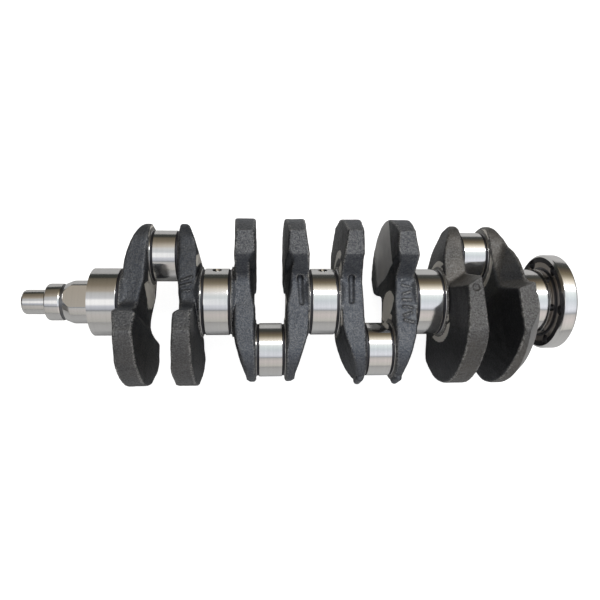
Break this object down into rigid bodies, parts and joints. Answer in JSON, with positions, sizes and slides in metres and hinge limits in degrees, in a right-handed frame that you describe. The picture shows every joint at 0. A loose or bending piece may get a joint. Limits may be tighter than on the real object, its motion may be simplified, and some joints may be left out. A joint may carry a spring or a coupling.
{
  "type": "crankshaft",
  "caption": "Forged crankshaft with main journals, offset crankpins and counterweighted webs, a stepped nose with drive flats and a flywheel flange.",
  "frame": {"origin": "on the shaft's axis at the middle of main journal 3", "axes": "+X along the shaft towards the flywheel flange, +Y towards crankpins 1 and 4, +Z across the throws; the part rests on its counterweights' flanks"},
  "size_m": [0.441, 0.1376, 0.1124],
  "materials": {
    "ground_steel": "ground and polished",
    "forged_steel": "dark shot-blasted forging skin",
    "turned_steel": "fine turned"
  },
  "bodies": {
    "root": {"nose_stub": "turned_steel", "timing_wheel_seat": "turned_steel", "pump_drive_collar": "turned_steel", "main_journal_1": "ground_steel", "main_journal_2": "ground_steel", "main_journal_3": "ground_steel", "main_journal_4": "ground_steel", "main_journal_5": "ground_steel", "crankpin_1": "ground_steel", "crankpin_2": "ground_steel", "crankpin_3": "ground_steel", "crankpin_4": "ground_steel", "web_1": "forged_steel", "web_2": "forged_steel", "web_3": "forged_steel", "web_4": "forged_steel", "web_5": "forged_steel", "web_6": "forged_steel", "web_7": "forged_steel", "web_8": "forged_steel", "flywheel_flange": "turned_steel"}
  },
  "joints": []
}
